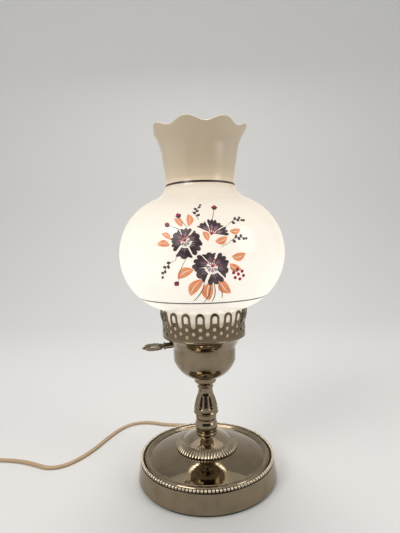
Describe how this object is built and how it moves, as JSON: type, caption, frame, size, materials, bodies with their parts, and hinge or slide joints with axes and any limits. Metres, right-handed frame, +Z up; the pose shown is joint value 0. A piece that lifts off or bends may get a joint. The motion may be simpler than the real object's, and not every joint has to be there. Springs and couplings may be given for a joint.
{
  "type": "oil lamp",
  "caption": "Table lamp shaped like an oil lamp: beaded brass base, fluted stem, turn key, pierced gallery and a painted opal glass shade with a ruffled top, lit by a screw-in bulb.",
  "frame": {"origin": "on the lamp's axis, where the felt foot stands on the table", "axes": "+Z up along the stem and shade; the camera side is -Y; the key points to -X and a little to -Y; the mains lead leaves at +Y"},
  "size_m": [0.4003, 0.2086, 0.3621],
  "materials": {
    "felt": "matt wool felt",
    "cast_weight": "rough cast iron",
    "zinc_steel": "zinc plated steel",
    "antique_brass": "polished and lacquered, antique tone",
    "pipe_brass": "raw drawn brass tube",
    "socket_brass": "bright drawn brass shell",
    "liner_board": "varnished insulating board",
    "phenolic": "moulded phenolic",
    "copper": "stripped copper strand",
    "opal_glass": "opal milk glass, fire polished",
    "bulb_glass": "inside frosted glass",
    "clear_glass": "clear pressed glass",
    "bulb_metal": "thin rolled aluminium",
    "solder": "solder button",
    "black_glass": "black glass insulator",
    "tungsten": "tungsten wire on supports",
    "lead_vinyl": "translucent brown vinyl, two cores side by side",
    "plug_plastic": "moulded brown plastic",
    "blade_brass": "plain stamped brass"
  },
  "bodies": {
    "root": {"felt_pad": "felt", "base_weight": "cast_weight", "base_nut": "zinc_steel", "base_washer": "zinc_steel", "base_shell": "antique_brass", "beaded_trim": "antique_brass", "ribbed_cap": "antique_brass", "stem_ring": "antique_brass", "stem_knop": "antique_brass", "stem_disc": "antique_brass", "fluted_column": "antique_brass", "stem_collar": "antique_brass", "threaded_pipe": "pipe_brass", "socket_cup": "antique_brass", "cup_nut": "zinc_steel", "shade_seat": "antique_brass", "gallery_crown": "antique_brass", "key_ferrule": "antique_brass", "socket_cap": "socket_brass", "socket_shell": "socket_brass", "socket_liner": "liner_board", "socket_body": "phenolic", "terminal_screws": "socket_brass", "lead_wires": "copper", "screw_shell": "socket_brass", "centre_contact": "socket_brass", "inner_lead": "lead_vinyl", "lead_bushing": "plug_plastic", "lead_run": "lead_vinyl", "lead_coil": "lead_vinyl", "lead_tail": "lead_vinyl", "plug_body": "plug_plastic", "plug_blades": "blade_brass"},
    "key": {"key_shaft": "antique_brass", "turn_key": "antique_brass", "switch_rotor": "phenolic"},
    "shade": {"shade_fitter": "opal_glass", "shade_bowl": "opal_glass", "shade_dome": "opal_glass", "shade_chimney": "opal_glass"},
    "bulb_tip": {"bulb_contact": "solder"},
    "bulb": {"bulb_insulator": "black_glass", "bulb_base": "bulb_metal", "bulb_glass": "bulb_glass", "bulb_stem": "clear_glass", "bulb_filament": "tungsten"}
  },
  "joints": [
    {"name": "key_turn", "type": "hinge", "parent": "root", "child": "key", "pos_m": [0, 0, 0.1423], "axis": [-0.9397, -0.342, 0], "continuous": true},
    {"name": "shade_lift", "type": "slide", "parent": "root", "child": "shade", "axis": [0, 0, 1], "range_m": [0, 0.12]},
    {"name": "bulb_rise", "type": "slide", "parent": "root", "child": "bulb_tip", "axis": [0, 0, 1], "range_m": [0, 0.0218]},
    {"name": "bulb_turn", "type": "hinge", "parent": "bulb_tip", "child": "bulb", "pos_m": [0, 0, 0.16], "axis": [0, 0, 1], "range_deg": [0, 2160]}
  ],
  "couplings": [
    {"joint": "bulb_rise", "follows": "bulb_turn", "m_per_rad": 0.0005775}
  ]
}
